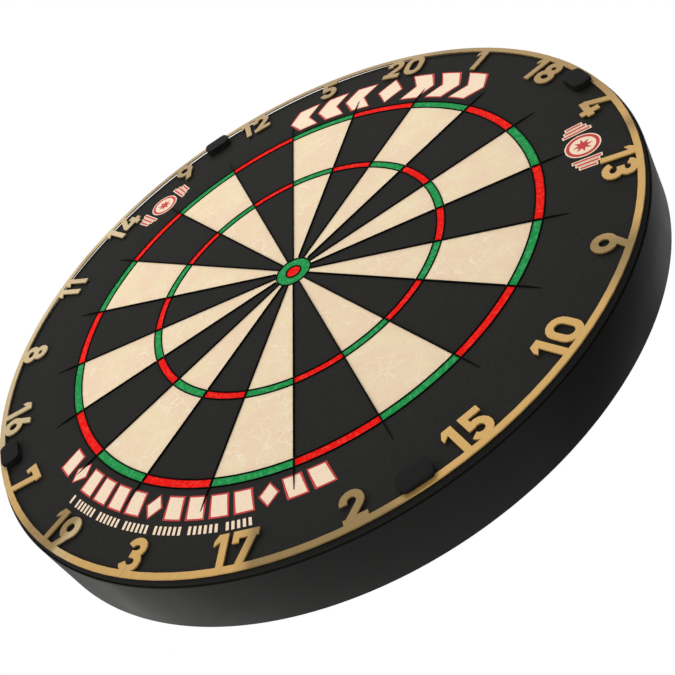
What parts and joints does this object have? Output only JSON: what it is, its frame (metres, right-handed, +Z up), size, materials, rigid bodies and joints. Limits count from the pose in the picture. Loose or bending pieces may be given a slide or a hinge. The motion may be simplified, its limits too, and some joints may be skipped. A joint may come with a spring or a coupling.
{
  "type": "dartboard",
  "caption": "Round bristle dartboard with radial blades, wire rings, a lift-off number ring under magnet caps, and a wall bracket it turns in.",
  "frame": {"origin": "the board's axis at the wall plane, as it hangs", "axes": "+Z up towards the number 20, -Y out of the playing face towards the player, +X to the player's right, and Y along the board's axis"},
  "size_m": [0.4576, 0.0797, 0.4576],
  "materials": {
    "sisal": "pressed plant fibre, dyed, matt",
    "back_board": "raw fibreboard",
    "rim_band": "satin black lacquer",
    "wire": "black, thin spring steel",
    "number_ring": "brushed gold-coloured steel",
    "cap": "fine matt grain",
    "magnet": "nickel plated",
    "seat": "zinc plated",
    "zinc_screw": "zinc plated",
    "bracket": "black powder coat",
    "foot": "soft matt rubber"
  },
  "bodies": {
    "bracket": {"wall_bracket": "bracket", "wall_screw_1": "zinc_screw", "wall_screw_2": "zinc_screw", "wall_screw_3": "zinc_screw", "wall_screw_4": "zinc_screw"},
    "board": {"sisal_block": "sisal", "back_board": "back_board", "rim_band": "rim_band", "hanging_screw": "zinc_screw", "radial_blade_01": "wire", "radial_blade_02": "wire", "radial_blade_03": "wire", "radial_blade_04": "wire", "radial_blade_05": "wire", "radial_blade_06": "wire", "radial_blade_07": "wire", "radial_blade_08": "wire", "radial_blade_09": "wire", "radial_blade_10": "wire", "radial_blade_11": "wire", "radial_blade_12": "wire", "radial_blade_13": "wire", "radial_blade_14": "wire", "radial_blade_15": "wire", "radial_blade_16": "wire", "radial_blade_17": "wire", "radial_blade_18": "wire", "radial_blade_19": "wire", "radial_blade_20": "wire", "treble_inner_wire": "wire", "treble_outer_wire": "wire", "double_inner_wire": "wire", "double_outer_wire": "wire", "bull_inner_wire": "wire", "bull_outer_wire": "wire", "magnet_seat_1": "seat", "magnet_seat_2": "seat", "magnet_seat_3": "seat", "magnet_seat_4": "seat", "rubber_foot_1": "foot", "rubber_foot_2": "foot", "rubber_foot_3": "foot"},
    "number_ring": {"number_ring": "number_ring"},
    "cap_1": {"magnet_cap_1": "cap", "holder_magnet_1": "magnet"},
    "cap_2": {"magnet_cap_2": "cap", "holder_magnet_2": "magnet"},
    "cap_3": {"magnet_cap_3": "cap", "holder_magnet_3": "magnet"},
    "cap_4": {"magnet_cap_4": "cap", "holder_magnet_4": "magnet"}
  },
  "joints": [
    {"name": "board_turn", "type": "hinge", "parent": "bracket", "child": "board", "pos_m": [0, 0, 0], "axis": [0, 1, 0], "continuous": true},
    {"name": "number_ring_lift", "type": "slide", "parent": "bracket", "child": "number_ring", "axis": [0, -1, 0], "range_m": [0, 0.06]},
    {"name": "cap_1_pull", "type": "slide", "parent": "number_ring", "child": "cap_1", "axis": [0, -1, 0], "range_m": [0, 0.03]},
    {"name": "cap_2_pull", "type": "slide", "parent": "number_ring", "child": "cap_2", "axis": [0, -1, 0], "range_m": [0, 0.03]},
    {"name": "cap_3_pull", "type": "slide", "parent": "number_ring", "child": "cap_3", "axis": [0, -1, 0], "range_m": [0, 0.03]},
    {"name": "cap_4_pull", "type": "slide", "parent": "number_ring", "child": "cap_4", "axis": [0, -1, 0], "range_m": [0, 0.03]}
  ]
}
